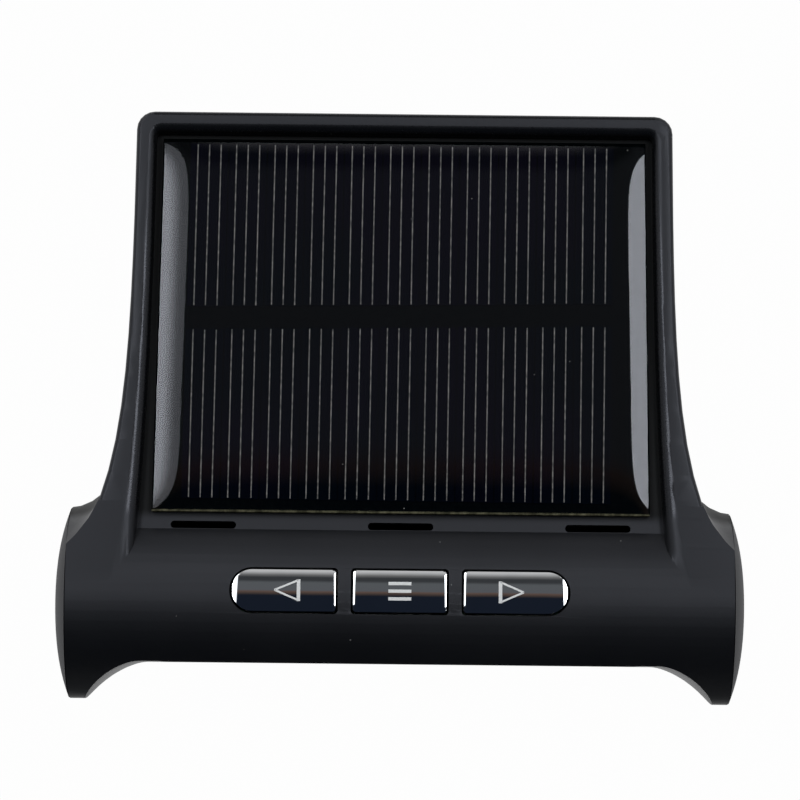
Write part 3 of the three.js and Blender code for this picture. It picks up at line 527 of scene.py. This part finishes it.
def make_end_caps():
    look = satin_plastic("cap_plastic", MATT)
    for side, name in ((-1, "cap_left"), (1, "cap_right")):
        node = f"end_{name}"
        low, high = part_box(node)
        bulge = max(high.x, -low.x) - BARREL_HALF
        bm = bmesh.new()
        points = [bm.verts.new((along, 0, out)) for along, out in dome_profile(bulge)]
        for pair in zip(points, points[1:]):
            bm.edges.new(pair)
        bmesh.ops.spin(bm, geom=bm.verts[:] + bm.edges[:], cent=(0, 0, 0), axis=(1, 0, 0),
                       dvec=(0, 0, 0), angle=2 * math.pi, steps=DOME_FACETS, use_merge=True)
        bmesh.ops.remove_doubles(bm, verts=bm.verts, dist=WELD)
        bmesh.ops.holes_fill(bm, edges=[e for e in bm.edges if e.is_boundary], sides=0)
        place = Matrix.Translation((side * BARREL_HALF, AXIS_Y, AXIS_Z)) @ Matrix.Diagonal((side, 1, 1, 1))
        bm.transform(place)
        bmesh.ops.recalc_face_normals(bm, faces=bm.faces)
        piece = finished(bm, name, look, smooth=35)
        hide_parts(node)


FOOT_FACETS = 64
FOOT_ROUND = 0.25
# The groove under a foot: how far in each ring lies from the last, and how far it goes up.
FOOT_RINGS = ((0.9, 0.0), (0.12, 0.12), (0.5, 0.0), (0.12, -0.12))


def make_feet():
    look = rubber()
    for name in ("front_left", "front_right", "rear_left", "rear_right"):
        node = f"foot_{name}"
        low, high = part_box(node)
        radius = (high.x - low.x) / 2
        bm = bmesh.new()
        bmesh.ops.create_cone(bm, cap_ends=True, segments=FOOT_FACETS, radius1=radius, radius2=radius,
                              depth=high.z - low.z)
        lower = [e for e in bm.edges if all(v.co.z < 0 for v in e.verts)]
        rounded(bm, lower, FOOT_ROUND)
        bottom = min(bm.faces, key=lambda f: f.calc_center_median().z)
        for inset, rise in FOOT_RINGS:
            bmesh.ops.inset_individual(bm, faces=[bottom], thickness=inset * MM, depth=0)
            bmesh.ops.translate(bm, verts=bottom.verts, vec=(0, 0, rise * MM))
        piece = finished(bm, f"rubber_{name}", look, smooth=30,
                         place=Matrix.Translation((low + high) / 2))
        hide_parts(node)


# ------------------------------------------------------------ solar module

BOARD_FOOT, BOARD_TOP = 11.3, 12.1
BOARD_ROUND = 0.06
EPOXY_MARGIN = 0.2
EPOXY_REAR_MARGIN = 0.65
CELL_TOP = 12.4
CELL_DEPTH = 0.2
EPOXY_TOP = 13.35
EPOXY_EDGE = 12.55
EPOXY_FOOT = 12.12
EPOXY_HEM = 0.8
EPOXY_OVER_CELLS = 0.03
EPOXY_GRID = (110, 90)
# How steeply the epoxy's top falls at its sides and ends, and how much of its swell is gone there.
SIDE_CROWN, FRONT_CROWN, REAR_CROWN = 9, 11, 8
FRONT_DROP, REAR_DROP = 0.58, 0.66
STRIP_PITCH = 5.5
STRIPS = 11
STRIP_GAP = 0.16
FIRST_STRIP = -31.06
FINGER_PITCH = 1.64
FINGER_WIDTH = 0.16
FINGER_SHORT = 0.15
FINGER_SINK = 0.005
FINGER_RISE = 0.012
# Where each row of cells starts and ends, and how much each of these runs back for a step across.
CELL_ROWS = {
    "front": ((13.2, 0.004), (38.1, 0.025)),
    "rear": ((41.3, 0.0236), (64.57, 0.0079)),
}
CELLS_TURN = LID @ Matrix.Rotation(math.radians(-0.45), 4, "Z")


def module_outline(u, v, margin=0.0, rear_margin=0.0):
    """A point of the module's plan, u and v from -1 to 1, x and y in millimetres."""
    half = MODULE_FRONT_HALF + (MODULE_REAR_HALF - MODULE_FRONT_HALF) * (v + 1) / 2 - margin
    front = MODULE_FRONT + margin
    rear = MODULE_REAR - rear_margin
    return u * half, (front + rear) / 2 + v * (rear - front) / 2


def make_board():
    bm = bmesh.new()
    bmesh.ops.create_cube(bm, size=2)
    for vert in bm.verts:
        x, y = module_outline(vert.co.x, vert.co.y)
        vert.co = Vector((x, y, BOARD_TOP if vert.co.z > 0 else BOARD_FOOT)) * MM
    rounded(bm, bm.edges[:], BOARD_ROUND, 1)
    piece = finished(bm, "module_board", board_black(), place=LID)
    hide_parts("solar_board")


def make_cells():
    cell = silicon()
    metal = silver()
    for row, (front, rear) in CELL_ROWS.items():
        strips = bmesh.new()
        fingers = bmesh.new()
        for i in range(STRIPS):
            left = FIRST_STRIP + i * STRIP_PITCH
            middle = left + STRIP_PITCH / 2
            start, end = (place + lean * middle for place, lean in (front, rear))
            block(strips, (left + STRIP_GAP / 2, start, CELL_TOP - CELL_DEPTH),
                  (left + STRIP_PITCH - STRIP_GAP / 2, end, CELL_TOP))
            for k in (-1, 0, 1):
                x = middle + k * FINGER_PITCH
                block(fingers, (x - FINGER_WIDTH / 2, start + FINGER_SHORT, CELL_TOP - FINGER_SINK),
                      (x + FINGER_WIDTH / 2, end - FINGER_SHORT, CELL_TOP + FINGER_RISE))
        piece = finished(strips, f"cell_strips_{row}", cell, place=CELLS_TURN)
        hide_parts(f"solar_cells_{row}")
        lines = finished(fingers, f"cell_fingers_{row}", metal, place=CELLS_TURN)


def epoxy_height(u, v):
    """How high the epoxy's top stands, u and v from -1 to 1."""
    drop = REAR_DROP * v ** REAR_CROWN if v > 0 else FRONT_DROP * abs(v) ** FRONT_CROWN
    swell = (1 - abs(u) ** SIDE_CROWN) * (1 - drop)
    return EPOXY_EDGE + (EPOXY_TOP - EPOXY_EDGE) * swell


def make_epoxy():
    """A poured slab whose top swells smoothly away from its edges, with a thin hem round the cells."""
    bm = bmesh.new()
    across, along = EPOXY_GRID
    bmesh.ops.create_grid(bm, x_segments=across, y_segments=along, size=1)
    top = bm.verts[:]
    under = new_vertices(bmesh.ops.extrude_face_region(bm, geom=bm.faces[:], use_keep_orig=True))
    length = (MODULE_REAR - MODULE_FRONT) / 2
    upper = set(top)
    for vert in top + under:
        u = math.sin(vert.co.x * math.pi / 2)
        v = math.sin(vert.co.y * math.pi / 2)
        x, y = module_outline(u, v, EPOXY_MARGIN, EPOXY_REAR_MARGIN)
        if vert in upper:
            z = epoxy_height(u, v)
        else:
            hem = min((1 - abs(u)) * MODULE_REAR_HALF, (1 - abs(v)) * length) < EPOXY_HEM
            z = EPOXY_FOOT if hem else CELL_TOP + EPOXY_OVER_CELLS
        vert.co = Vector((x, y, z)) * MM
    bmesh.ops.recalc_face_normals(bm, faces=bm.faces)
    piece = finished(bm, "epoxy_dome", epoxy(), smooth=30, place=LID)
    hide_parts("solar_epoxy")


# ------------------------------------------------------------ keys

# A key's end: the radius of its corners and the steps round them, how far from the end its top
# begins to fall away, and the radius of that fall.
End = namedtuple("End", "corner steps reach fall")
ROUND_END = End(2.92, 16, 1.25, 4.3)
SQUARE_END = End(0.42, 5, 0.5, 1.8)

KEY_PITCH = 16.25
KEY_FROM_CREST = 0.25
KEY_HEIGHT = 5.86
KEY_CROWN = 13.85
# A key starts as a flat-topped block. All of it above its middle is then lifted to the crown.
KEY_FOOT = 11.0
KEY_MIDDLE = 12.0
KEY_FLAT_TOP = 13.0
KEY_STRIPS = 28
FALL_CUTS = 7
KEY_RIM = 0.2
KEYS = (
    ("left", -KEY_PITCH, 14.56, ROUND_END, SQUARE_END),
    ("mode", 0.0, 13.06, SQUARE_END, SQUARE_END),
    ("right", KEY_PITCH, 14.56, SQUARE_END, ROUND_END),
)


def crown_height(y):
    """How high the keys' rounded tops stand above the barrel's axis, y behind the key's middle."""
    return math.sqrt(KEY_CROWN ** 2 - (y + KEY_FROM_CREST) ** 2)


def in_upper_half(edge):
    return all(v.co.z > KEY_MIDDLE * MM for v in edge.verts)


def key_block(width, ends):
    """A flat-topped block with a key's outline, its corners rounded at each end."""
    bm = bmesh.new()
    bmesh.ops.create_grid(bm, x_segments=1, y_segments=1, size=1)
    for vert in bm.verts:
        vert.co = Vector((vert.co.x * width / 2, vert.co.y * KEY_HEIGHT / 2, KEY_FOOT)) * MM
    for side, end in ends.items():
        corners = [v for v in bm.verts if abs(v.co.x - side * width / 2 * MM) < 1e-7]
        bmesh.ops.bevel(bm, geom=corners, offset=end.corner * MM, affect="VERTICES",
                        segments=end.steps, profile=0.5, material=-1)
    bmesh.ops.remove_doubles(bm, verts=bm.verts, dist=WELD)
    lifted = new_vertices(bmesh.ops.extrude_face_region(bm, geom=bm.faces[:], use_keep_orig=True))
    bmesh.ops.translate(bm, verts=lifted, vec=(0, 0, (KEY_FLAT_TOP - KEY_FOOT) * MM))
    return bm


def crown_top(bm, width, ends):
    """Rounds a key's top from front to rear, and lets it fall away towards each end."""
    cut_in_strips(bm, KEY_HEIGHT, KEY_STRIPS)
    for side, end in ends.items():
        for i in range(FALL_CUTS):
            cut_across(bm, 0, side * (width / 2 - end.reach * (1 - i / FALL_CUTS)))
    for vert in bm.verts:
        if vert.co.z > KEY_MIDDLE * MM:
            end = ends[1 if vert.co.x > 0 else -1]
            into = max(0, end.reach - (width / 2 - abs(vert.co.x / MM)))
            vert.co.z = (crown_height(vert.co.y / MM) - into ** 2 / (2 * end.fall)) * MM


def make_keys():
    look = chrome()
    for name, x, width, left_end, right_end in KEYS:
        ends = {-1: left_end, 1: right_end}
        bm = key_block(width, ends)
        crown_top(bm, width, ends)
        bmesh.ops.recalc_face_normals(bm, faces=bm.faces)
        rounded(bm, sharp_edges(bm, 50, in_upper_half), KEY_RIM, 4)
        place = LID @ Matrix.Translation(mm(x, KEY_FROM_CREST, 0))
        piece = finished(bm, f"chrome_{name}", look, f"{name}_key", smooth=40, place=place)
        weighted(piece)
        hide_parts(f"key_{name}")


MARK_RISE = 0.045
MARK_SINK = 0.05
MARK_LENGTH = 3.4
MARK_STRIPS = 12
# Where an arrow's point and its base lie along the key, its half width and the widths of its strokes.
ARROWS = {"left": (-1.25, 2.1), "right": (1.05, -2.2)}
ARROW_HALF = 1.42
ARROW_SIDE = 0.27
ARROW_BASE = 0.5
ARROW_BASE_PAST = 0.12
BAR_HALF = 1.6
BAR_PITCH = 1.08
BAR_WIDTH = 0.46


def make_arrow(bm, point, base):
    """A hollow arrowhead lying flat: two sides and a heavy base."""
    for side in (-1, 1):
        run = Vector((base - point, side * ARROW_HALF))
        turn = Matrix.Translation((point * MM, 0, 0)) @ Matrix.Rotation(math.atan2(run.y, run.x), 4, "Z")
        block(bm, (0, -ARROW_SIDE / 2, -MARK_SINK), (run.length, ARROW_SIDE / 2, MARK_RISE), turn)
    half = ARROW_HALF + ARROW_BASE_PAST
    block(bm, (base - ARROW_BASE / 2, -half, -MARK_SINK), (base + ARROW_BASE / 2, half, MARK_RISE))


def make_bars(bm):
    """Three bars lying flat across the key's middle."""
    for i in (-1, 0, 1):
        middle = i * BAR_PITCH
        block(bm, (-BAR_HALF, middle - BAR_WIDTH / 2, -MARK_SINK),
              (BAR_HALF, middle + BAR_WIDTH / 2, MARK_RISE))


def make_marks():
    """Draws each mark flat, then seats it on the key's rounded top."""
    look = grained("key_mark_white", (0.9, 0.9, 0.89), (0.98, 0.98, 0.97), 0.35, size=0.3 * MM)
    for name, x, *_ in KEYS:
        bm = bmesh.new()
        if name in ARROWS:
            make_arrow(bm, *ARROWS[name])
        else:
            make_bars(bm)
        cut_in_strips(bm, MARK_LENGTH, MARK_STRIPS)
        for vert in bm.verts:
            vert.co.z += crown_height(vert.co.y / MM) * MM
        bmesh.ops.recalc_face_normals(bm, faces=bm.faces)
        place = LID @ Matrix.Translation(mm(x, KEY_FROM_CREST, 0))
        piece = finished(bm, f"mark_{name}", look, f"{name}_key", smooth=30, place=place)


# ------------------------------------------------------------ finishes of the CAD's own parts

def dress_nodes():
    steel = grained("screw_steel", (0.45, 0.45, 0.46), (0.6, 0.6, 0.61), 0.35, 1.0)
    white = grained("white_plastic", (0.62, 0.61, 0.58), (0.7, 0.69, 0.66), 0.5)
    black = grained("black_plastic", (0.012, 0.012, 0.012), (0.022, 0.022, 0.022), 0.5)
    green = grained("circuit_board", (0.01, 0.07, 0.025), (0.02, 0.11, 0.04), 0.45)
    red = grained("red_insulation", (0.35, 0.012, 0.01), (0.45, 0.02, 0.015), 0.45)
    looks = {
        "display_lens": grained("dark_lens", (0.004, 0.004, 0.005), (0.006, 0.006, 0.007), 0.08,
                                depth=0.001 * MM),
        "lcd_panel": grained("lcd_glass", (0.05, 0.055, 0.045), (0.07, 0.075, 0.06), 0.15),
        "lcd_backlight": white,
        "lcd_contact_strip": grained("contact_rubber", (0.2, 0.2, 0.2), (0.3, 0.3, 0.3), 0.8),
        "display_board": green,
        "main_board": green,
        "display_ribbon": grained("flat_cable", (0.6, 0.58, 0.52), (0.72, 0.7, 0.62), 0.45),
        "display_ribbon_socket": white,
        "main_ribbon_socket": white,
        "battery_plug": white,
        "antenna_coil": grained("copper_wire", (0.6, 0.25, 0.1), (0.75, 0.35, 0.18), 0.3, 1.0),
        "battery": grained("battery_foil", (0.35, 0.36, 0.38), (0.5, 0.51, 0.53), 0.35, 0.6),
        "battery_foam_pad": grained("foam", (0.02, 0.02, 0.02), (0.05, 0.05, 0.05), 0.95),
        "usb_socket": steel,
        "radio_crystal": steel,
    }
    for name, node in NODES.items():
        look = looks.get(name, black)
        if name.startswith("case_screw"):
            look = steel
        elif name.startswith("switch_plunger"):
            look = white
        elif name.endswith("lead_red"):
            look = red
        node.data.materials.clear()
        node.data.materials.append(look)


make_housing()
make_end_caps()
make_feet()
make_board()
make_cells()
make_epoxy()
make_keys()
make_marks()
dress_nodes()


# ------------------------------------------------------------ floor, lights, camera

SHARP_RAYS = ("Is Glossy Ray", "Is Transmission Ray")
FLOOR_HALF = 3
FLOOR_BELOW = 0.02 * MM
# How much of the floor's look is plain white; the rest is paper that takes light and shade.
FLOOR_WHITE = 0.985
PAPER = (0.25, 0.25, 0.25)
# Where the shade on the floor before the object is deepest, how far it reaches in full and where it
# ends, in metres.
SHADE_MIDDLE = (0, -0.5, 0)
SHADE_REACH = (0.447, 0.456)


def make_floor(low_z):
    """White paper, clear from below so that the underside can be seen."""
    bm = bmesh.new()
    bmesh.ops.create_grid(bm, x_segments=1, y_segments=1, size=FLOOR_HALF)
    bmesh.ops.translate(bm, verts=bm.verts, vec=(0, 0, low_z - FLOOR_BELOW))
    mesh = bpy.data.meshes.new("floor")
    bm.to_mesh(mesh)
    bm.free()
    floor = bpy.data.objects.new("floor", mesh)
    bpy.context.scene.collection.objects.link(floor)
    floor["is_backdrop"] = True
    material = bpy.data.materials.new("floor_paper")
    material.use_nodes = True
    mesh.materials.append(material)
    nodes = Nodes(material.node_tree)
    where = nodes.node("ShaderNodeTexCoord", output="Object")
    away = nodes.node("ShaderNodeVectorMath", {"operation": "DISTANCE"}, (where, SHADE_MIDDLE),
                      output="Value")
    mirrored = away.rise(*SHADE_REACH) * nodes.seen_by(*SHARP_RAYS)
    share = mirrored.most(nodes.seen_by("Is Camera Ray")) * FLOOR_WHITE
    paper = nodes.node("ShaderNodeBsdfDiffuse", {}, {"Color": PAPER})
    above = nodes.mix_shader(share, paper, nodes.node("ShaderNodeEmission"))
    below = nodes.node("ShaderNodeNewGeometry", output="Backfacing")
    nodes.shown(nodes.mix_shader(below, above, nodes.node("ShaderNodeBsdfTransparent")))


# How light the studio is behind the object, by degrees back from overhead.
BACKDROP = (
    (-8, (0.010, 0.014, 0.024)),
    (14, (0.010, 0.014, 0.024)),
    (16, (0.06, 0.045, 0.04)),
    (18.5, (0.13, 0.085, 0.07)),
    (20, (0.11, 0.115, 0.125)),
    (29, (0.11, 0.118, 0.125)),
    (32, (0.045, 0.048, 0.052)),
    (35.5, (0.045, 0.048, 0.052)),
    (38.5, (0.18, 0.18, 0.18)),
    (43, (0.62, 0.62, 0.62)),
    (47, (0.7, 0.7, 0.7)),
    (50, (0.05, 0.05, 0.05)),
)
# The pale band low down: its light, the height where it begins and where it is full, and how far
# forward it begins and where it is full, each as a part of the direction looked in.
HORIZON = (0.6, 0.6, 0.6)
HORIZON_HEIGHT = (0.22, 0.05)
HORIZON_DEPTH = (-0.7, 0.0)
ROOM = (0.01, 0.01, 0.01)
WHITE = (1, 1, 1)


def make_world():
    """White to the camera; bright glossy and clear surfaces see the studio's backdrop instead."""
    world = bpy.data.worlds.new("studio")
    bpy.context.scene.world = world
    world.use_nodes = True
    nodes = Nodes(world.node_tree)
    _, y, z = nodes.axes_of(nodes.node("ShaderNodeTexCoord", output="Generated"))
    back = nodes.node("ShaderNodeMath", {"operation": "ARCTAN2"}, (y, z))
    low, high = BACKDROP[0][0], BACKDROP[-1][0]
    stops = [((degrees - low) / (high - low), color) for degrees, color in BACKDROP]
    place = back.rise(math.radians(low), math.radians(high))
    backdrop = nodes.node("ShaderNodeValToRGB", {"stops": stops}, (place,))
    horizon = z.rise(*HORIZON_HEIGHT) * y.rise(*HORIZON_DEPTH)
    mirrored = nodes.mix(horizon, backdrop, HORIZON)
    lit = nodes.mix(nodes.seen_by(*SHARP_RAYS), ROOM, mirrored)
    shown = nodes.mix(nodes.seen_by("Is Camera Ray"), lit, WHITE)
    nodes.plug(nodes.tree.nodes["Background"].inputs["Color"], shown)


LIGHT_DISTANCE = 1.1
LIGHT_TINT = (0.94, 0.97, 1.0)
# Each soft box's degrees aside and back from overhead, its degrees wide and long, and its watts.
SOFT_BOXES = {
    "left_box": (-25, 25, 18, 41, 5.2),
    "right_box": (26.8, 21.5, 14, 37, 3.9),
    "left_side_box": (-58, 18, 22, 40, 0.6),
    "right_side_box": (58, 18, 22, 40, 0.6),
    "low_left_box": (-65, 75, 30, 20, 0.9),
    "low_right_box": (65, 75, 30, 20, 0.6),
}
# Across the left box: where its light starts and stops fading, and how strong it is at each.
LEFT_BOX_FADE = (0.42, 0.92, 1.0, 0.22)


def span(degrees):
    """The width of something seen at the lights' distance."""
    return 2 * LIGHT_DISTANCE * math.tan(math.radians(degrees / 2))


def make_soft_box(name, aside, back, width, length, power):
    """A rectangular lamp that faces the object."""
    away = Vector((math.tan(math.radians(aside)), math.tan(math.radians(back)), 1)).normalized()
    along = (Vector((0, 1, 0)) - away.y * away).normalized()
    turn = Matrix((along.cross(away), along, away)).transposed()
    light = bpy.data.lights.new(name, "AREA")
    light.shape = "RECTANGLE"
    light.size = span(width)
    light.size_y = span(length)
    light.energy = power
    light.color = LIGHT_TINT
    lamp = bpy.data.objects.new(name, light)
    lamp.location = Vector((0, 0, AXIS_Z)) + away * LIGHT_DISTANCE
    lamp.rotation_euler = turn.to_euler()
    bpy.context.scene.collection.objects.link(lamp)
    return lamp


def fade_across(lamp, fade):
    """Dims a lamp across its width, from 0 on its left to 1 on its right."""
    lamp.data.use_nodes = True
    nodes = Nodes(lamp.data.node_tree)
    across = nodes.axes_of(nodes.node("ShaderNodeNewGeometry", output="Parametric"))[0]
    nodes.plug(nodes.tree.nodes["Emission"].inputs["Strength"], across.ramp(*fade))


def make_lights():
    lamps = {name: make_soft_box(name, *box) for name, box in SOFT_BOXES.items()}
    fade_across(lamps["left_box"], LEFT_BOX_FADE)


SENSOR_WIDTH = 36
LENS = 185.85
CAMERA_ASIDE = -0.27 * MM
CAMERA_BACK = 29.43 * MM
CAMERA_HEIGHT = 590 * MM
CAMERA_TURN = math.radians(0.62)


def make_camera():
    """Looks straight down, a little behind the barrel's axis."""
    data = bpy.data.cameras.new("camera")
    data.sensor_width = SENSOR_WIDTH
    data.lens = LENS
    data.clip_start = 0.01
    data.clip_end = 20
    camera = bpy.data.objects.new("camera", data)
    camera.location = (CAMERA_ASIDE, AXIS_Y + CAMERA_BACK, AXIS_Z + CAMERA_HEIGHT)
    camera.rotation_euler = (0, 0, CAMERA_TURN)
    bpy.context.scene.collection.objects.link(camera)
    bpy.context.scene.camera = camera


make_floor(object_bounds()[0].z)
make_world()
make_lights()
make_camera()
bpy.context.scene.view_settings.view_transform = "Standard"
